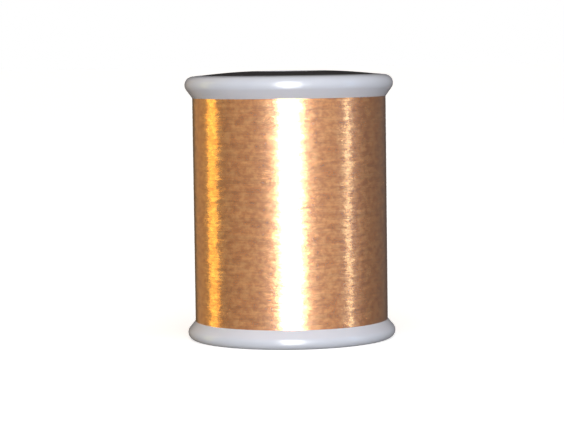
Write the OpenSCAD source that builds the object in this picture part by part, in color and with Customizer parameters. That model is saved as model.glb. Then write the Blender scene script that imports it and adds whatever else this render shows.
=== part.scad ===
// Spool of fine thread: a plain core between two bead-rimmed flanges, wound almost full.
// +Z runs up the spool's axis, and the origin is the centre of the bottom face.

/* [Overall] */
// Overall height
spool_h = 36; // [30:0.5:60]
// Outside diameter of the flanges
flange_d = 28; // [27.5:0.5:34]
// Diameter of the wound thread
winding_d = 26; // [20:0.5:26.5]

/* [Core] */
// Diameter of the hole for the spool pin
bore_d = 7; // [6:0.1:7.4]
// Outside diameter of the sleeve that lines the hole
sleeve_d = 9; // [8.6:0.1:9]
// Outside diameter of the barrel that the thread is wound on
barrel_d = 12.5; // [12.4:0.1:14]
// Wall of the barrel
barrel_wall = 1; // [0.8:0.05:1]

/* [Flanges] */
// Thickness of the top flange, from its rim's end to the flat inner face
top_t = 3.4; // [3.2:0.1:4.5]
// Radius of the top flange's rounded rim
top_rim_r = 1.15; // [1:0.05:1.4]
// Slope of the top flange's flare between the rim and the thread, in degrees
top_flare_angle = 54; // [48:1:60]
// Thickness of the bottom flange
bottom_t = 2.9; // [2.8:0.1:4]
// Radius of the bottom flange's rounded rim
bottom_rim_r = 0.95; // [0.8:0.05:1.1]
// Slope of the bottom flange's flare, in degrees
bottom_flare_angle = 50; // [46:1:56]
// How far the top end rises in a shallow cone from its rim to its middle
crown = 0.6; // [0:0.1:1]
// Length of the spigot that plugs into the barrel
spigot_l = 5; // [3:0.5:9]
// Ribs in the hollow outer side
rib_count = 6; // [3:1:10]
// Lugs that key each flange to the barrel
lug_count = 4; // [2:1:6]

/* [Thread slit] */
// Width of the slit that holds the thread's end
slit_w = 0.35; // [0.2:0.05:0.6]
// How deep the slit is cut into the rim
slit_depth = 1.3; // [0.8:0.1:1.5]
// Where the slit is around the top flange, in degrees from +X
slit_angle = 118; // [0:1:359]

/* [Labels] */
// Diameter of the round label on each end
label_d = 24; // [20:0.5:24]
// Thickness of a label
label_t = 0.22; // [0.1:0.02:0.4]

/* [Hidden] */
$fn = 96;

nudge = 0.01;               // overlap that keeps a cut or a join clean
free_gap = 0.02;            // gap between pieces that only lie against each other
label_drop = 0.02;          // how far a label lies below the end face
label_gap = 0.1;            // gap between a label and the wall around it
collar_w = 0.7;             // wall of the collar around the sleeve
lip_w = 0.6;                // how far each end's lip reaches over the sleeve
lip_t = 0.8;                // thickness of that lip
edge_chamfer = 0.3;         // chamfer on the hole and the spigots
ledge_w = 0.6;              // ledge that carries a label's outer edge
hub_ledge_w = 1.2;          // ledge that carries its inner edge
pocket_floor_t = 1.2;       // plastic left between a pocket and the thread
rib_w = 0.9;
lug_w = 1.5;
lug_h = 1.2;
slit_mouth = 0.9;           // side of the square cut that flares the slit's mouth

flange_r = flange_d / 2;
winding_r = winding_d / 2;
bore_r = bore_d / 2;
sleeve_r = sleeve_d / 2;
barrel_r = barrel_d / 2;
spigot_r = barrel_r - barrel_wall;
collar_r = sleeve_r + collar_w;
label_r = label_d / 2;
recess_t = label_t + label_drop;
recess_r = label_r + label_gap;
upper_face_z = spool_h - crown - top_t;

// Thickness, rim radius and flare slope of each flange.
top_shape = [top_t, top_rim_r, top_flare_angle];
bottom_shape = [bottom_t, bottom_rim_r, bottom_flare_angle];

function thickness(shape) = shape[0];
function rim(shape) = shape[1];
function slope(shape) = shape[2];
function rim_center_r(shape) = flange_r - rim(shape);
function flare_start_r(shape) = rim_center_r(shape) + rim(shape) * sin(slope(shape));
function flare_start_z(shape) = rim(shape) + rim(shape) * cos(slope(shape));
function flare_end_r(shape) =
    flare_start_r(shape) - (thickness(shape) - flare_start_z(shape)) / tan(slope(shape));

module tube(outer_r, inner_r, h) {
    difference() {
        cylinder(r = outer_r, h = h);
        translate([0, 0, -nudge])
            cylinder(r = inner_r, h = h + 2 * nudge);
    }
}

// Spaces count children evenly around the axis.
module around(count) {
    for (i = [0 : count - 1])
        rotate(i * 360 / count)
            children();
}

// Half section of a flange lying on its end face: the end rises by crown_h from a flat middle
// to the rounded rim, and the flare leads up from the rim to the inner face.
module flange_section(shape, crown_h) {
    inner_face_z = crown_h + thickness(shape);
    polygon([
        [0, 0],
        [collar_r, 0],
        [rim_center_r(shape), crown_h],
        [flare_start_r(shape), crown_h + flare_start_z(shape)],
        [flare_end_r(shape), inner_face_z],
        [0, inner_face_z]
    ]);
    translate([rim_center_r(shape), crown_h + rim(shape)])
        circle(r = rim(shape));
}

// Section of a ring that follows the end face, from depth near to depth far below it.
module end_ring_section(inner_r, outer_r, near, far, crown_h) {
    fall = crown_h / (rim_center_r(top_shape) - collar_r);
    inner_z = (inner_r - collar_r) * fall;
    outer_z = (outer_r - collar_r) * fall;
    polygon([
        [inner_r, inner_z + near],
        [outer_r, outer_z + near],
        [outer_r, outer_z + far],
        [inner_r, inner_z + far]
    ]);
}

// Ring that plugs into the barrel, standing on the inner face.
module spigot() {
    translate([0, 0, -nudge])
        cylinder(r = spigot_r, h = spigot_l - edge_chamfer + nudge);
    translate([0, 0, spigot_l - edge_chamfer])
        cylinder(r1 = spigot_r, r2 = spigot_r - edge_chamfer, h = edge_chamfer);
}

// Blocks at the foot of the spigot, and the same blocks as notches in the barrel's ends.
module lugs() {
    intersection() {
        around(lug_count)
            translate([0, -lug_w / 2, 0])
                cube([barrel_r, lug_w, lug_h]);
        tube(barrel_r, spigot_r - nudge, lug_h);
    }
}

// Hollows between the ribs, open towards the end face.
module pockets(depth) {
    difference() {
        tube(recess_r - ledge_w, collar_r + hub_ledge_w, depth);
        around(rib_count)
            translate([0, -rib_w / 2, -nudge])
                cube([flange_r, rib_w, depth + 2 * nudge]);
    }
}

// One flange lying on its end face.
module flange(shape, crown_h) {
    inner_face_z = crown_h + thickness(shape);
    difference() {
        union() {
            rotate_extrude()
                flange_section(shape, crown_h);
            translate([0, 0, inner_face_z]) {
                spigot();
                translate([0, 0, -nudge])
                    lugs();
            }
        }
        translate([0, 0, lip_t])
            cylinder(r = sleeve_r, h = inner_face_z + spigot_l);
        translate([0, 0, -nudge])
            cylinder(r = sleeve_r - lip_w, h = lip_t + 2 * nudge);
        translate([0, 0, -nudge])
            cylinder(r1 = sleeve_r - lip_w + edge_chamfer, r2 = sleeve_r - lip_w, h = edge_chamfer);
        rotate_extrude()
            end_ring_section(collar_r, recess_r, -nudge, recess_t, crown_h);
        pockets(inner_face_z - pocket_floor_t);
    }
}

// Narrow slit across the rim with a flared mouth.
module thread_slit() {
    cut_h = crown + top_t + 2 * nudge;
    rotate(slit_angle) {
        translate([flange_r - slit_depth, -slit_w / 2, -nudge])
            cube([slit_depth + 1, slit_w, cut_h]);
        translate([flange_r + slit_mouth / 3, 0, -nudge])
            rotate(45)
                translate([-slit_mouth / 2, -slit_mouth / 2, 0])
                    cube([slit_mouth, slit_mouth, cut_h]);
    }
}

// Ring label just below an end face, given as lying at the bottom end.
module end_label(crown_h) {
    rotate_extrude()
        end_ring_section(collar_r + free_gap, label_r, label_drop, recess_t, crown_h);
}

// Turns an end piece over and puts it at the top end.
module at_top() {
    translate([0, 0, spool_h])
        mirror([0, 0, 1])
            children();
}

module barrel() {
    color("whitesmoke")
        difference() {
            translate([0, 0, bottom_t])
                tube(barrel_r, spigot_r, upper_face_z - bottom_t);
            translate([0, 0, bottom_t - nudge])
                lugs();
            translate([0, 0, upper_face_z - lug_h + nudge])
                lugs();
        }
}

module pin_sleeve() {
    sleeve_h = spool_h - 2 * lip_t;
    color("white")
        translate([0, 0, lip_t])
            difference() {
                tube(sleeve_r, bore_r, sleeve_h);
                translate([0, 0, -nudge])
                    cylinder(r1 = bore_r + edge_chamfer, r2 = bore_r, h = edge_chamfer);
                translate([0, 0, sleeve_h - edge_chamfer + nudge])
                    cylinder(r1 = bore_r, r2 = bore_r + edge_chamfer, h = edge_chamfer);
            }
}

module top_flange() {
    color("ghostwhite")
        at_top()
            difference() {
                flange(top_shape, crown);
                thread_slit();
            }
}

module bottom_flange() {
    color("ghostwhite")
        flange(bottom_shape, 0);
}

// The space between the flanges, out to the rims, with a small gap at each flange.
module winding_space() {
    low_z = bottom_t + free_gap;
    low_rim_z = flare_start_z(bottom_shape) + free_gap;
    high_z = upper_face_z - free_gap;
    high_rim_z = upper_face_z + top_t - flare_start_z(top_shape) - free_gap;
    polygon([
        [0, low_z],
        [flare_end_r(bottom_shape), low_z],
        [flare_start_r(bottom_shape), low_rim_z],
        [flare_start_r(top_shape), high_rim_z],
        [flare_end_r(top_shape), high_z],
        [0, high_z]
    ]);
}

// The wound thread as one ring, from the barrel out to its own diameter.
module thread_winding() {
    start_r = barrel_r + free_gap;
    color("peru")
        rotate_extrude()
            intersection() {
                winding_space();
                translate([start_r, 0])
                    square([winding_r - start_r, spool_h]);
            }
}

module top_label() {
    color("dimgray")
        at_top()
            end_label(crown);
}

module bottom_label() {
    color("gainsboro")
        end_label(0);
}

barrel();
pin_sleeve();
top_flange();
bottom_flange();
thread_winding();
top_label();
bottom_label();
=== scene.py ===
import math

import bmesh
import bpy
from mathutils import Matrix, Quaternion, Vector


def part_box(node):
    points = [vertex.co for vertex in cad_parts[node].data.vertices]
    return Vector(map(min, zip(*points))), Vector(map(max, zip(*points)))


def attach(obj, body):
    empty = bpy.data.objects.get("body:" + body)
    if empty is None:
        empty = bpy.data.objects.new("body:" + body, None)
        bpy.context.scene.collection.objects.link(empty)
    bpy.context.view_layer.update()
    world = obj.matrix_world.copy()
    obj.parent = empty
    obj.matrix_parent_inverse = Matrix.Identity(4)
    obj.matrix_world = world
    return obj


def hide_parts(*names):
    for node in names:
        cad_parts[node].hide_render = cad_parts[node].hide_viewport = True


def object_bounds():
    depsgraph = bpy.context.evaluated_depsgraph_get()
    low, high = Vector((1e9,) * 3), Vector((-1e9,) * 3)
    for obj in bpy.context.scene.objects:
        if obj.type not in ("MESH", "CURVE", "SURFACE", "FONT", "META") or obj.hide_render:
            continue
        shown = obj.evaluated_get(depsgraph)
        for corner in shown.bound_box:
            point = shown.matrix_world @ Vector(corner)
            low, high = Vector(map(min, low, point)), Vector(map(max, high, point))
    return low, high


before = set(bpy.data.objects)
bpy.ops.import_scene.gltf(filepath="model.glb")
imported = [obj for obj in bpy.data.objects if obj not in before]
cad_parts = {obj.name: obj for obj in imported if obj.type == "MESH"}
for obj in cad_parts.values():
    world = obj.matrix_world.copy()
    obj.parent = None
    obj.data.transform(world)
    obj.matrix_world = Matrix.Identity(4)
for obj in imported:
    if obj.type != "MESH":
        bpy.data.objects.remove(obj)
cadBounds = [list(corner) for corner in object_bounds()]
print("frame loaded:", sorted(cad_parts))

mm = 0.001
spoolHeight = cadBounds[1][2]
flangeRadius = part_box("bottom_flange")[1].x
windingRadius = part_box("thread_winding")[1].x
middle = Vector((0, 0, spoolHeight / 2))
mergeDistance = 0.0005 * mm    # for points that a lathe or a Boolean leaves in one place
cutterHeight = 6 * mm          # more than any of the flanges' cuts


cameraSetup = {
    "distance": 300 * mm,      # from the spool's axis
    "height": 38.3 * mm,
    "pan": -0.215,             # degrees, towards +X
    "tilt": 4.05,              # degrees, looking down
    "roll": -0.77,
    "lens": 142.3,             # millimetres on a 36 mm sensor
}

lightSetup = {
    # azimuth 0 is the camera's side and 90 is +X; sizes are in metres and levels are radiances
    "frontPanel": {"azimuth": 1, "elevation": 10, "distance": 0.6, "size": (0.32, 0.42),
                   "level": 5.0, "color": (0.98, 0.99, 1.0), "glossyOnly": False},
    "frontStrip": {"azimuth": 0, "elevation": 4, "distance": 0.5, "size": (0.20, 0.95),
                   "level": 11.0, "color": (1.0, 1.0, 1.0), "glossyOnly": True},
    "frontGlow": {"azimuth": 2, "elevation": 4, "distance": 0.5, "size": (0.50, 0.95),
                  "level": 0.36, "color": (0.85, 1.0, 1.0), "glossyOnly": True},
    "warmStrip": {"azimuth": -105, "elevation": 8, "distance": 0.5, "size": (0.15, 0.50),
                  "level": 1.75, "color": (1.0, 0.85, 0.20), "glossyOnly": True},
    "paleStrip": {"azimuth": 73, "elevation": 8, "distance": 0.5, "size": (0.044, 0.50),
                  "level": 5.4, "color": (0.40, 0.64, 1.0), "glossyOnly": True},
}

roomSetup = {
    # the room round the spool: degrees from the camera's side towards +X, then the light there
    "around": [(-180, (0.03, 0.03, 0.03)), (-160, (0.10, 0.07, 0.04)), (-148, (0.56, 0.39, 0.20)),
               (-120, (0.53, 0.41, 0.24)), (-90, (0.47, 0.435, 0.385)), (-60, (0.64, 0.62, 0.59)),
               (0, (0.90, 0.90, 0.92)), (40, (0.80, 0.80, 0.82)), (84, (0.62, 0.62, 0.63)),
               (104, (0.34, 0.33, 0.33)), (140, (0.24, 0.22, 0.20)), (166, (0.10, 0.08, 0.07)),
               (180, (0.03, 0.03, 0.03))],
    "below": 0.38,             # how bright the lowest directions are against the horizon
    "above": 1.2,
    "backdrop": 1.0,           # what the camera sees behind the spool
}

floorSetup = {
    "size": 12.0,
    "drop": 0.01 * mm,         # below the spool, so that the two faces don't coincide
    "color": (0.9, 0.9, 0.9),
    "glow": 0.55,              # keeps the floor as pale as the backdrop
}


def addCamera(setup):
    bpy.ops.object.camera_add(location=(0, -setup["distance"], setup["height"]))
    camera = bpy.context.object
    camera.name = "camera"
    pan, tilt = math.radians(setup["pan"]), math.radians(setup["tilt"])
    ahead = Vector((math.sin(pan) * math.cos(tilt), math.cos(pan) * math.cos(tilt), -math.sin(tilt)))
    turned = ahead.to_track_quat("-Z", "Y") @ Quaternion((0, 0, 1), math.radians(setup["roll"]))
    camera.rotation_euler = turned.to_euler()
    camera.data.sensor_width = 36
    camera.data.lens = setup["lens"]
    camera.data.clip_start = 0.01
    camera.data.clip_end = 50
    bpy.context.scene.camera = camera


def addLight(name, setup):
    azimuth, elevation = math.radians(setup["azimuth"]), math.radians(setup["elevation"])
    flat = math.cos(elevation)
    outward = Vector((math.sin(azimuth) * flat, -math.cos(azimuth) * flat, math.sin(elevation)))
    bpy.ops.object.light_add(type="AREA", location=middle + outward * setup["distance"])
    lamp = bpy.context.object
    lamp.name = name
    lamp.rotation_euler = (-outward).to_track_quat("-Z", "Y").to_euler()
    wide, tall = setup["size"]
    lamp.data.shape = "RECTANGLE"
    lamp.data.size, lamp.data.size_y = wide, tall
    lamp.data.energy = setup["level"] * math.pi * wide * tall
    lamp.data.color = setup["color"]
    lamp.visible_diffuse = not setup["glossyOnly"]
    lamp.visible_camera = False


def addRoom(setup):
    world = bpy.data.worlds.new("room")
    bpy.context.scene.world = world
    world.use_nodes = True
    nodes, links = world.node_tree.nodes, world.node_tree.links
    nodes.clear()
    place = nodes.new("ShaderNodeTexCoord")
    split = nodes.new("ShaderNodeSeparateXYZ")
    links.new(place.outputs["Generated"], split.inputs[0])
    toward = nodes.new("ShaderNodeMath")
    toward.operation = "MULTIPLY"
    toward.inputs[1].default_value = -1
    links.new(split.outputs["Y"], toward.inputs[0])
    azimuth = nodes.new("ShaderNodeMath")
    azimuth.operation = "ARCTAN2"
    links.new(split.outputs["X"], azimuth.inputs[0])
    links.new(toward.outputs[0], azimuth.inputs[1])
    along = nodes.new("ShaderNodeMapRange")
    along.inputs["From Min"].default_value = -math.pi
    along.inputs["From Max"].default_value = math.pi
    links.new(azimuth.outputs[0], along.inputs["Value"])
    ramp = nodes.new("ShaderNodeValToRGB")
    ramp.color_ramp.interpolation = "EASE"
    links.new(along.outputs[0], ramp.inputs[0])
    stops = ramp.color_ramp.elements
    for index, (degrees, light) in enumerate(setup["around"]):
        where = (degrees + 180) / 360
        if index < 2:
            stop = stops[index]
            stop.position = where
        else:
            stop = stops.new(where)
        stop.color = (*light, 1)
    height = nodes.new("ShaderNodeMapRange")
    height.inputs["From Min"].default_value = -1
    height.inputs["To Min"].default_value = setup["below"]
    height.inputs["To Max"].default_value = setup["above"]
    links.new(split.outputs["Z"], height.inputs["Value"])
    lit = nodes.new("ShaderNodeBackground")
    links.new(ramp.outputs["Color"], lit.inputs["Color"])
    links.new(height.outputs[0], lit.inputs["Strength"])
    seen = nodes.new("ShaderNodeBackground")
    seen.inputs["Color"].default_value = (1, 1, 1, 1)
    seen.inputs["Strength"].default_value = setup["backdrop"]
    rays = nodes.new("ShaderNodeLightPath")
    either = nodes.new("ShaderNodeMixShader")
    links.new(rays.outputs["Is Camera Ray"], either.inputs[0])
    links.new(lit.outputs[0], either.inputs[1])
    links.new(seen.outputs[0], either.inputs[2])
    output = nodes.new("ShaderNodeOutputWorld")
    links.new(either.outputs[0], output.inputs["Surface"])


def addFloor(setup):
    bpy.ops.mesh.primitive_plane_add(size=setup["size"], location=(0, 0, -setup["drop"]))
    floor = bpy.context.object
    floor.name = "floor"
    # it stays out of the reflections and adds no light to the undersides of the flanges
    floor.visible_glossy = floor.visible_diffuse = floor.visible_shadow = False
    material = bpy.data.materials.new("paleFloor")
    material.use_nodes = True
    nodes, links = material.node_tree.nodes, material.node_tree.links
    nodes.clear()
    paper = nodes.new("ShaderNodeBsdfDiffuse")
    paper.inputs["Color"].default_value = (*setup["color"], 1)
    glow = nodes.new("ShaderNodeEmission")
    glow.inputs["Strength"].default_value = setup["glow"]
    both = nodes.new("ShaderNodeAddShader")
    output = nodes.new("ShaderNodeOutputMaterial")
    links.new(paper.outputs[0], both.inputs[0])
    links.new(glow.outputs[0], both.inputs[1])
    links.new(both.outputs[0], output.inputs["Surface"])
    floor.data.materials.append(material)


addCamera(cameraSetup)
for lightName, setup in lightSetup.items():
    addLight(lightName, setup)
addRoom(roomSetup)
addFloor(floorSetup)
bpy.context.scene.view_settings.view_transform = "Standard"
print("camera, lights and room made")


def clearSelection():
    for thing in bpy.context.selected_objects:
        thing.select_set(False)


def pick(piece):
    clearSelection()
    piece.select_set(True)
    bpy.context.view_layer.objects.active = piece


def settle(piece):
    pick(piece)
    bpy.ops.object.transform_apply(location=True, rotation=True, scale=True)


def lathe(name, outline, segments):
    # a ring is extruded from point to point round the outline, each point a radius and a height
    radius, height = outline[0]
    clearSelection()
    bpy.ops.mesh.primitive_circle_add(vertices=segments, radius=radius, location=(0, 0, height))
    piece = bpy.context.object
    piece.name = piece.data.name = name
    settle(piece)
    bpy.ops.object.mode_set(mode="EDIT")
    bpy.ops.mesh.select_all(action="SELECT")
    for nextRadius, nextHeight in outline[1:] + outline[:1]:
        bpy.ops.mesh.extrude_edges_move(TRANSFORM_OT_translate={"value": (0, 0, nextHeight - height)})
        grow = nextRadius / radius
        bpy.ops.transform.resize(value=(grow, grow, 1), center_override=(0, 0, 0))
        radius, height = nextRadius, nextHeight
    bpy.ops.mesh.select_all(action="SELECT")
    bpy.ops.mesh.remove_doubles(threshold=mergeDistance)
    bpy.ops.mesh.normals_make_consistent(inside=False)
    bpy.ops.object.mode_set(mode="OBJECT")
    return piece


def arc(centerRadius, centerHeight, radius, start, end, steps):
    points = []
    for step in range(steps + 1):
        angle = math.radians(start + (end - start) * step / steps)
        points.append((centerRadius + radius * math.cos(angle), centerHeight + radius * math.sin(angle)))
    return points


def applyModifiers(piece):
    pick(piece)
    for modifier in list(piece.modifiers):
        bpy.ops.object.modifier_apply(modifier=modifier.name)


def smooth(piece, degrees):
    pick(piece)
    bpy.ops.object.shade_smooth_by_angle(angle=math.radians(degrees))


def paint(piece, material):
    piece.data.materials.clear()
    piece.data.materials.append(material)


def place(piece, node, slot, material):
    paint(piece, material)
    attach(piece, "root")
    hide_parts(node)


def newMaterial(name):
    material = bpy.data.materials.new(name)
    material.use_nodes = True
    nodes = material.node_tree.nodes
    return material, nodes, material.node_tree.links, nodes["Principled BSDF"]


def stretched(nodes, links, scale):
    # Object coordinates times a scale for each axis, so a noise of scale 1 has features of that size
    where = nodes.new("ShaderNodeTexCoord")
    mapping = nodes.new("ShaderNodeMapping")
    mapping.inputs["Scale"].default_value = scale
    links.new(where.outputs["Object"], mapping.inputs["Vector"])
    return mapping.outputs["Vector"]


def noise(nodes, links, vector, detail=2.0, rough=0.5):
    cloud = nodes.new("ShaderNodeTexNoise")
    cloud.inputs["Scale"].default_value = 1
    cloud.inputs["Detail"].default_value = detail
    cloud.inputs["Roughness"].default_value = rough
    links.new(vector, cloud.inputs["Vector"])
    return cloud.outputs["Fac"]


def remap(nodes, links, value, low, high, toLow, toHigh):
    ranged = nodes.new("ShaderNodeMapRange")
    ranged.inputs["From Min"].default_value = low
    ranged.inputs["From Max"].default_value = high
    ranged.inputs["To Min"].default_value = toLow
    ranged.inputs["To Max"].default_value = toHigh
    links.new(value, ranged.inputs["Value"])
    return ranged.outputs["Result"]


def mixColors(nodes, links, amount, first, second):
    # first and second are colours, or the output of another node
    mixed = nodes.new("ShaderNodeMix")
    mixed.data_type = "RGBA"
    links.new(amount, mixed.inputs["Factor"])
    for socket, color in ((mixed.inputs[6], first), (mixed.inputs[7], second)):
        if isinstance(color, tuple):
            socket.default_value = (*color, 1)
        else:
            links.new(color, socket)
    return mixed.outputs[2]


def bump(nodes, links, height, distance, below=None):
    raised = nodes.new("ShaderNodeBump")
    raised.inputs["Strength"].default_value = 1
    raised.inputs["Distance"].default_value = distance
    links.new(height, raised.inputs["Height"])
    if below is not None:
        links.new(below, raised.inputs["Normal"])
    return raised.outputs["Normal"]


def perMm(*sizes):
    # noise scale for features of these sizes in millimetres
    return tuple(1 / (size * mm) for size in sizes)


# in the looks below, a texture's sizes are millimetres along X, Y and Z, and bump heights are lengths

plasticLook = {
    "patches": (6, 6, 4),      # slow changes of colour and gloss
    "grain": (0.5, 0.5, 0.5),
    "grainHeight": 0.003 * mm,
    "roughness": (0.17, 0.22),
    "glow": 0.25,              # how much light goes under the surface
    "glowDepth": 0.8 * mm,
    "ior": 1.5,
    "flange": ((0.60, 0.62, 0.68), (0.575, 0.595, 0.655)),
    "core": ((0.74, 0.74, 0.73), (0.68, 0.68, 0.67)),
}


def whitePlastic(name, look, colors):
    material, nodes, links, shader = newMaterial(name)
    patches = noise(nodes, links, stretched(nodes, links, perMm(*look["patches"])), 3)
    grain = noise(nodes, links, stretched(nodes, links, perMm(*look["grain"])), 2)
    links.new(mixColors(nodes, links, remap(nodes, links, patches, 0.35, 0.65, 0, 1), *colors),
              shader.inputs["Base Color"])
    links.new(remap(nodes, links, patches, 0.3, 0.7, *look["roughness"]), shader.inputs["Roughness"])
    links.new(bump(nodes, links, grain, look["grainHeight"]), shader.inputs["Normal"])
    shader.inputs["Subsurface Weight"].default_value = look["glow"]
    shader.inputs["Subsurface Radius"].default_value = (1.0, 1.05, 1.2)
    shader.inputs["Subsurface Scale"].default_value = look["glowDepth"]
    shader.inputs["IOR"].default_value = look["ior"]
    return material


threadLook = {
    "bundles": (5.5, 5.5, 1.1),      # groups of turns that stand out together
    "bundleHeight": 0.20 * mm,
    "waves": (1.7, 1.7, 0.7),
    "waveHeight": 0.034 * mm,
    "strands": (2.4, 2.4, 0.24),     # single turns
    "strandHeight": 0.024 * mm,
    "glints": (1.1, 1.1, 0.16),      # the metal film twisted into the thread
    "glintHeight": 0.007 * mm,
    "patches": (0.95, 0.95, 0.75),   # spots where the film lies brighter or darker
    "strandColors": ((0.735, 0.275, 0.072), (0.84, 0.335, 0.095)),
    "brightSpots": (1.0, 0.47, 0.16),
    "darkSpots": (0.60, 0.20, 0.05),
    "roughness": (0.13, 0.22),
    "metallic": 0.95,
    "coatRoughness": 0.32,
    "coatIor": 1.8,
}


def copperThread(name, look):
    material, nodes, links, shader = newMaterial(name)
    bundles = noise(nodes, links, stretched(nodes, links, perMm(*look["bundles"])), 2)
    waves = noise(nodes, links, stretched(nodes, links, perMm(*look["waves"])), 2)
    strands = noise(nodes, links, stretched(nodes, links, perMm(*look["strands"])), 3, 0.6)
    glints = noise(nodes, links, stretched(nodes, links, perMm(*look["glints"])), 2, 0.6)
    patches = noise(nodes, links, stretched(nodes, links, perMm(*look["patches"])), 2, 0.6)
    streaked = mixColors(nodes, links, remap(nodes, links, strands, 0.34, 0.66, 0, 1),
                         *look["strandColors"])
    toned = mixColors(nodes, links, remap(nodes, links, patches, 0.46, 0.68, 0, 0.75), streaked,
                      look["brightSpots"])
    shaded = mixColors(nodes, links, remap(nodes, links, patches, 0.48, 0.30, 0, 0.7), toned,
                       look["darkSpots"])
    links.new(shaded, shader.inputs["Base Color"])
    links.new(remap(nodes, links, glints, 0.3, 0.7, *look["roughness"]), shader.inputs["Roughness"])
    uneven = bump(nodes, links, bundles, look["bundleHeight"])
    uneven = bump(nodes, links, waves, look["waveHeight"], uneven)
    uneven = bump(nodes, links, strands, look["strandHeight"], uneven)
    links.new(bump(nodes, links, glints, look["glintHeight"], uneven), shader.inputs["Normal"])
    shader.inputs["Metallic"].default_value = look["metallic"]
    shader.inputs["Coat Weight"].default_value = 1.0
    shader.inputs["Coat Roughness"].default_value = look["coatRoughness"]
    shader.inputs["Coat IOR"].default_value = look["coatIor"]
    return material


paperLook = {
    "fibres": (0.25, 0.12, 0.2),
    "fibreHeight": 0.006 * mm,
    "patches": (4, 4, 4),
    "roughnessSpread": 0.06,
    "ior": 1.14,
    # the near-black colours are painted shade: they colour the top label so that it stands in for the shade
    # on the spool's top end
    "dark": ((0.030, 0.028, 0.030), (0.045, 0.043, 0.045)),
    "darkRoughness": 0.6,
    "pale": ((0.62, 0.61, 0.58), (0.55, 0.54, 0.50)),
    "paleRoughness": 0.7,
}


def paperLabel(name, look, colors, roughness):
    material, nodes, links, shader = newMaterial(name)
    fibres = noise(nodes, links, stretched(nodes, links, perMm(*look["fibres"])), 4, 0.6)
    patches = noise(nodes, links, stretched(nodes, links, perMm(*look["patches"])), 3)
    spread = look["roughnessSpread"]
    links.new(mixColors(nodes, links, remap(nodes, links, patches, 0.42, 0.75, 0, 1), *colors),
              shader.inputs["Base Color"])
    links.new(remap(nodes, links, fibres, 0.3, 0.7, roughness - spread, roughness + spread),
              shader.inputs["Roughness"])
    links.new(bump(nodes, links, fibres, look["fibreHeight"]), shader.inputs["Normal"])
    shader.inputs["IOR"].default_value = look["ior"]
    return material


flangePlastic = whitePlastic("flangePlastic", plasticLook, plasticLook["flange"])
corePlastic = whitePlastic("corePlastic", plasticLook, plasticLook["core"])
threadMetal = copperThread("threadMetal", threadLook)
# painted shade: the top label's paper is made near-black to stand in for the shade on the top end
paintedShadePaper = paperLabel("paintedShadePaper", paperLook, paperLook["dark"], paperLook["darkRoughness"])
palePaper = paperLabel("palePaper", paperLook, paperLook["pale"], paperLook["paleRoughness"])
print("materials made")


flangeShape = {
    "collarRadius": 5.2 * mm,
    "recessRadius": 12.1 * mm,
    "recessDepth": 0.24 * mm,
    "sleeveRadius": 4.5 * mm,
    "lipRadius": 3.9 * mm,
    "lipThickness": 0.8 * mm,
    "chamfer": 0.3 * mm,
    "spigotRadius": 5.25 * mm,
    "spigotLength": 5 * mm,
    "edge": 0.06 * mm,         # rounding on the small edges
    "segments": 160,
    "recessSteps": 8,
    "edgeSteps": 3,
    "rimSteps": 20,
    "pocketInner": 6.4 * mm,   # the hollows under the label
    "pocketOuter": 11.5 * mm,
    "pocketFloor": 1.2 * mm,   # plastic left between a hollow and the thread
    "ribs": 6,
    "ribWidth": 0.9 * mm,
    "lugs": 4,
    "lugWidth": 1.5 * mm,
    "lugHeight": 1.2 * mm,
    "lugRadius": 6.25 * mm,
}

topShape = {
    **flangeShape,
    "rimRadius": 1.15 * mm,
    "flare": 54,               # degrees, between the rim and the thread
    "thickness": 3.4 * mm,     # from the rim's end to the inner face
    "crown": 0.6 * mm,         # how far the end rises from its rim to its collar
    "dome": 1.5,               # 1 would make the rise a straight cone
}

bottomShape = {
    **flangeShape,
    "rimRadius": 0.95 * mm,
    "flare": 50,
    "thickness": 2.9 * mm,
    "crown": 0,
}

slitShape = {
    "angle": 118,              # degrees from +X
    "width": 0.35 * mm,
    "depth": 1.3 * mm,
    "mouth": 0.9 * mm,         # side of the square cut that widens the slit's mouth
}


def crownFall(radius, crown):
    # how far the slightly domed end has fallen at this radius
    start, end = topShape["collarRadius"], flangeRadius - topShape["rimRadius"]
    return crown * max(0, (radius - start) / (end - start)) ** topShape["dome"]


def flangeOutline(shape):
    edge = shape["edge"]
    crown = shape["crown"]
    rimCenter = flangeRadius - shape["rimRadius"]
    recess = shape["recessDepth"]
    recessRise = crownFall(shape["recessRadius"], crown)
    inner = crown + shape["thickness"]
    tip = inner + shape["spigotLength"]
    flare = math.radians(shape["flare"])
    flareStart = (rimCenter + shape["rimRadius"] * math.sin(flare),
                  crown + shape["rimRadius"] * (1 + math.cos(flare)))
    flareEnd = flareStart[0] - (inner - flareStart[1]) / math.tan(flare)
    outline = [(shape["lipRadius"] + shape["chamfer"], 0)]
    outline += arc(shape["collarRadius"] - edge, edge, edge, -90, 0, shape["edgeSteps"])
    recessSteps = shape["recessSteps"]
    for step in range(recessSteps + 1):
        radius = shape["collarRadius"] + (shape["recessRadius"] - shape["collarRadius"]) * step / recessSteps
        outline.append((radius, crownFall(radius, crown) + recess))
    outline += arc(shape["recessRadius"] + edge, recessRise + edge, edge, 180, 270, shape["edgeSteps"])
    outline += arc(rimCenter, crown + shape["rimRadius"], shape["rimRadius"], -90, 90 - shape["flare"],
                   shape["rimSteps"])
    outline.append((flareEnd, inner))
    outline.append((shape["spigotRadius"], inner))
    outline.append((shape["spigotRadius"], tip - shape["chamfer"]))
    outline.append((shape["spigotRadius"] - shape["chamfer"], tip))
    outline.append((shape["sleeveRadius"], tip))
    outline.append((shape["sleeveRadius"], shape["lipThickness"]))
    outline.append((shape["lipRadius"], shape["lipThickness"]))
    outline.append((shape["lipRadius"], shape["chamfer"]))
    return outline


def addBlock(size, location, turn):
    bpy.ops.mesh.primitive_cube_add(size=1, location=location, rotation=(0, 0, turn))
    block = bpy.context.object
    block.scale = size
    settle(block)
    return block


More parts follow.
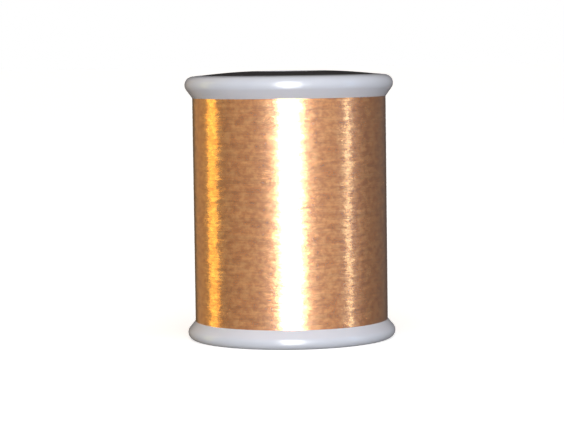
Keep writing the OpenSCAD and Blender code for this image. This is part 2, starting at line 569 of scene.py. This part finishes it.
def combine(piece, other, operation):
    # a Boolean with another piece, which is used up
    change = piece.modifiers.new("combine", "BOOLEAN")
    change.operation = operation
    change.solver = "EXACT"
    change.object = other
    applyModifiers(piece)
    bpy.data.objects.remove(other)
    bpy.ops.object.mode_set(mode="EDIT")
    bpy.ops.mesh.select_all(action="SELECT")
    bpy.ops.mesh.remove_doubles(threshold=mergeDistance)
    bpy.ops.object.mode_set(mode="OBJECT")


def addPockets(piece, shape, flip):
    # flip(height) turns a height above the flange's own end face into one above the floor
    ceiling = shape["crown"] + shape["thickness"] - shape["pocketFloor"]
    mouth = flip(ceiling - cutterHeight)
    outline = [(shape["pocketInner"], flip(ceiling)), (shape["pocketInner"], mouth),
               (shape["pocketOuter"], mouth), (shape["pocketOuter"], flip(ceiling))]
    hollow = lathe("hollow", outline, shape["segments"])
    for index in range(shape["ribs"]):
        turn = 2 * math.pi * index / shape["ribs"]
        rib = addBlock((flangeRadius, shape["ribWidth"], 2 * cutterHeight),
                       (math.cos(turn) * flangeRadius / 2, math.sin(turn) * flangeRadius / 2,
                        flip(ceiling - cutterHeight / 2)), turn)
        combine(hollow, rib, "DIFFERENCE")
    combine(piece, hollow, "DIFFERENCE")


def addLugs(piece, shape, flip):
    face = shape["crown"] + shape["thickness"]
    sunk = 0.2 * mm            # overlap with the flange and the spigot
    inner = shape["spigotRadius"] - sunk
    for index in range(shape["lugs"]):
        turn = 2 * math.pi * index / shape["lugs"]
        middleRadius = (inner + shape["lugRadius"]) / 2
        lug = addBlock((shape["lugRadius"] - inner, shape["lugWidth"], shape["lugHeight"] + sunk),
                       (math.cos(turn) * middleRadius, math.sin(turn) * middleRadius,
                        flip(face + (shape["lugHeight"] - sunk) / 2)), turn)
        combine(piece, lug, "UNION")


def cutSlit(piece, shape):
    angle = math.radians(shape["angle"])
    outward = Vector((math.cos(angle), math.sin(angle), 0))
    past = 1 * mm              # how far the cutters stand out of the flange
    reach = shape["depth"] + past
    level = Vector((0, 0, spoolHeight - cutterHeight / 2 + past))
    slot = addBlock((reach, shape["width"], cutterHeight),
                    outward * (flangeRadius - shape["depth"] + reach / 2) + level, angle)
    mouth = addBlock((shape["mouth"], shape["mouth"], cutterHeight),
                     outward * (flangeRadius + shape["mouth"] / 3) + level, angle + math.pi / 4)
    for cutter in (slot, mouth):
        combine(piece, cutter, "DIFFERENCE")


def upright(height):
    return height


def turnedOver(height):
    return spoolHeight - height


def addFlange(name, node, shape, flip):
    outline = [(radius, flip(height)) for radius, height in flangeOutline(shape)]
    flange = lathe(name, outline, shape["segments"])
    # the hollows come last: a Boolean on a piece that already has them leaves open edges
    addLugs(flange, shape, flip)
    if node == "top_flange":
        cutSlit(flange, slitShape)
    addPockets(flange, shape, flip)
    smooth(flange, 35)
    place(flange, node, "white_plastic", flangePlastic)


addFlange("bottomFlange", "bottom_flange", bottomShape, upright)
addFlange("topFlange", "top_flange", topShape, turnedOver)
print("flanges made")


labelShape = {
    "inner": 5.22 * mm,
    "outer": 12.0 * mm,
    "thickness": 0.22 * mm,
    "drop": 0.02 * mm,         # below the end face
    "edge": 0.05 * mm,
    "rings": 8,
}


def labelOutline(shape, crown):
    edge = shape["edge"]
    width = shape["outer"] - shape["inner"] - 2 * edge
    face = []
    for step in range(shape["rings"] + 1):
        radius = shape["inner"] + edge + width * step / shape["rings"]
        face.append((radius, shape["drop"] + crownFall(radius, crown)))
    back = [(radius, height + shape["thickness"]) for radius, height in reversed(face)]
    outerFall = shape["drop"] + crownFall(shape["outer"], crown)
    innerFall = shape["drop"] + crownFall(shape["inner"], crown)
    outline = face + [(shape["outer"], outerFall + edge), (shape["outer"], outerFall + shape["thickness"])]
    outline += back + [(shape["inner"], innerFall + shape["thickness"]), (shape["inner"], innerFall + edge)]
    return outline


def addLabels(shape):
    bottom = lathe("bottomLabel", labelOutline(shape, 0), flangeShape["segments"])
    topOutline = [(radius, turnedOver(height)) for radius, height in labelOutline(shape, topShape["crown"])]
    top = lathe("topLabel", topOutline, flangeShape["segments"])
    smooth(bottom, 40)
    smooth(top, 40)
    place(bottom, "bottom_label", "pale_label", palePaper)
    # the top label is a real paper disc whose near-black colour is painted shade for the top end
    place(top, "top_label", "dark_label", paintedShadePaper)


addLabels(labelShape)
print("labels made")


threadShape = {
    "thickness": 0.16 * mm,    # one turn to the next
    "crest": 0.018 * mm,       # how far a turn stands out of the groove beside it
    "steps": 96,               # round each turn
    "wander": 0.035 * mm,      # how far a turn strays in or out
    "straySize": (3.4 * mm, 3.4 * mm, 0.24 * mm),
    "firstHeight": 2.33 * mm,  # both just inside a flare, which hides the first and last turn
    "lastHeight": 32.66 * mm,
    "endInset": 0.25 * mm,     # where the ends turn in under the flanges
    "endHeights": (2.92 * mm, 31.98 * mm),
    "coreRadius": 6.3 * mm,    # inside of the wound thread, just clear of the barrel
    "merge": 0.001 * mm,
}


def addWinding(shape):
    # half a thread's section, flattened to the height of a crest, is wound once and then stacked
    pitch = shape["thickness"]
    turns = round((shape["lastHeight"] - shape["firstHeight"]) / pitch)
    clearSelection()
    bpy.ops.mesh.primitive_circle_add(vertices=8, radius=pitch / 2, rotation=(math.pi / 2, 0, 0),
                                      location=(0, 0, shape["firstHeight"] + pitch / 2))
    winding = bpy.context.object
    winding.name = winding.data.name = "threadWinding"
    settle(winding)
    bpy.ops.object.mode_set(mode="EDIT")
    mesh = bmesh.from_edit_mesh(winding.data)
    for vertex in mesh.verts:
        vertex.select_set(vertex.co.x < -0.01 * pitch)
    mesh.select_flush_mode()
    bpy.ops.mesh.delete(type="VERT")
    bpy.ops.mesh.select_all(action="SELECT")
    bpy.ops.transform.resize(value=(shape["crest"] / (pitch / 2), 1, 1), center_override=(0, 0, 0))
    bpy.ops.transform.translate(value=(windingRadius - shape["crest"], 0, 0))
    bpy.ops.object.mode_set(mode="OBJECT")
    screw = winding.modifiers.new("turns", "SCREW")
    screw.axis = "Z"
    screw.screw_offset = pitch
    screw.steps = screw.render_steps = shape["steps"]
    screw.use_smooth_shade = True
    stack = winding.modifiers.new("stack", "ARRAY")
    stack.use_relative_offset = False
    stack.use_constant_offset = True
    stack.constant_offset_displace = (0, 0, pitch)
    stack.count = turns
    applyModifiers(winding)
    bpy.ops.object.mode_set(mode="EDIT")
    bpy.ops.mesh.select_all(action="SELECT")
    bpy.ops.mesh.remove_doubles(threshold=shape["merge"])
    closeEnds(winding, shape)
    bpy.ops.mesh.select_all(action="SELECT")
    bpy.ops.mesh.normals_make_consistent(inside=False)
    bpy.ops.object.mode_set(mode="OBJECT")
    return winding


def selectEdges(piece, wanted):
    # selects the open edges that are wanted, and nothing else
    mesh = bmesh.from_edit_mesh(piece.data)
    for part in (mesh.verts, mesh.edges, mesh.faces):
        for item in part:
            item.select_set(False)
    for edge in mesh.edges:
        if edge.is_boundary and wanted(edge):
            edge.select_set(True)
    bmesh.update_edit_mesh(piece.data)


def closeEnds(winding, shape):
    # the cut end of the first and last turn gets a face, then both open ends turn in under the
    # flanges, run to the barrel and are joined there
    inset = 1 - shape["endInset"] / windingRadius
    core = shape["coreRadius"] / (windingRadius - shape["endInset"])

    def isAbove(edge):
        return edge.verts[0].co.z > middle.z

    def isCutEnd(edge):
        return all(abs(vertex.co.y) < shape["merge"] for vertex in edge.verts)

    for above, endHeight in enumerate(shape["endHeights"]):
        selectEdges(winding, lambda edge: isAbove(edge) == above and isCutEnd(edge))
        bpy.ops.mesh.edge_face_add()
        selectEdges(winding, lambda edge: isAbove(edge) == above)
        for grow in (inset, core):
            bpy.ops.mesh.extrude_edges_move()
            bpy.ops.transform.resize(value=(grow, grow, 0), center_override=(0, 0, endHeight))
    bpy.ops.mesh.select_all(action="SELECT")
    bpy.ops.mesh.remove_doubles(threshold=shape["merge"])
    selectEdges(winding, lambda edge: True)
    bpy.ops.mesh.bridge_edge_loops()


def strayTurns(winding, shape):
    # each turn lies a little in or out of its neighbours, over a few millimetres of its length
    bpy.ops.object.empty_add(location=(0, 0, 0))
    ruler = bpy.context.object
    ruler.scale = shape["straySize"]
    texture = bpy.data.textures.new("strayTurns", "CLOUDS")
    texture.noise_scale = 1
    texture.noise_depth = 1
    stray = winding.modifiers.new("stray", "DISPLACE")
    stray.texture = texture
    stray.texture_coords = "OBJECT"
    stray.texture_coords_object = ruler
    stray.direction = "NORMAL"
    stray.strength = shape["wander"]
    stray.mid_level = 0.5
    applyModifiers(winding)
    bpy.data.objects.remove(ruler)


threadEnd = {
    # degrees from +X, radius and height along the end of the thread
    "route": [(20, 12.93, 30.90), (40, 13.00, 31.15), (60, 13.05, 31.40), (80, 13.05, 31.65),
              (98, 13.06, 31.95), (110, 13.07, 32.22), (116, 13.08, 32.46), (118, 13.12, 32.85),
              (118, 13.30, 33.50), (118, 13.62, 34.20), (118.3, 14.10, 34.65), (119.5, 14.60, 34.70),
              (121.5, 15.00, 34.35), (123, 15.15, 33.90)],
    "radius": 0.075 * mm,
}


def addThreadEnd(winding, shape):
    # the last length leaves the top turns, runs up into the slit and hangs a little way out of it
    bpy.ops.curve.primitive_nurbs_path_add()
    end = bpy.context.object
    spline = end.data.splines[0]
    spline.points.add(len(shape["route"]) - len(spline.points))
    for point, (degrees, radius, height) in zip(spline.points, shape["route"]):
        angle = math.radians(degrees)
        point.co = (radius * mm * math.cos(angle), radius * mm * math.sin(angle), height * mm, 1)
    spline.use_endpoint_u = True
    spline.order_u = 4
    end.data.resolution_u = 6
    end.data.bevel_depth = shape["radius"]
    end.data.bevel_resolution = 2
    end.data.use_fill_caps = True
    pick(end)
    bpy.ops.object.convert(target="MESH")
    winding.select_set(True)
    bpy.context.view_layer.objects.active = winding
    bpy.ops.object.join()


winding = addWinding(threadShape)
strayTurns(winding, threadShape)
addThreadEnd(winding, threadEnd)
smooth(winding, 180)
place(winding, "thread_winding", "metallic_thread", threadMetal)
print("thread wound:", len(winding.data.polygons), "faces")


for nodeName in ("barrel", "pin_sleeve"):
    paint(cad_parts[nodeName], corePlastic)
print("core painted")
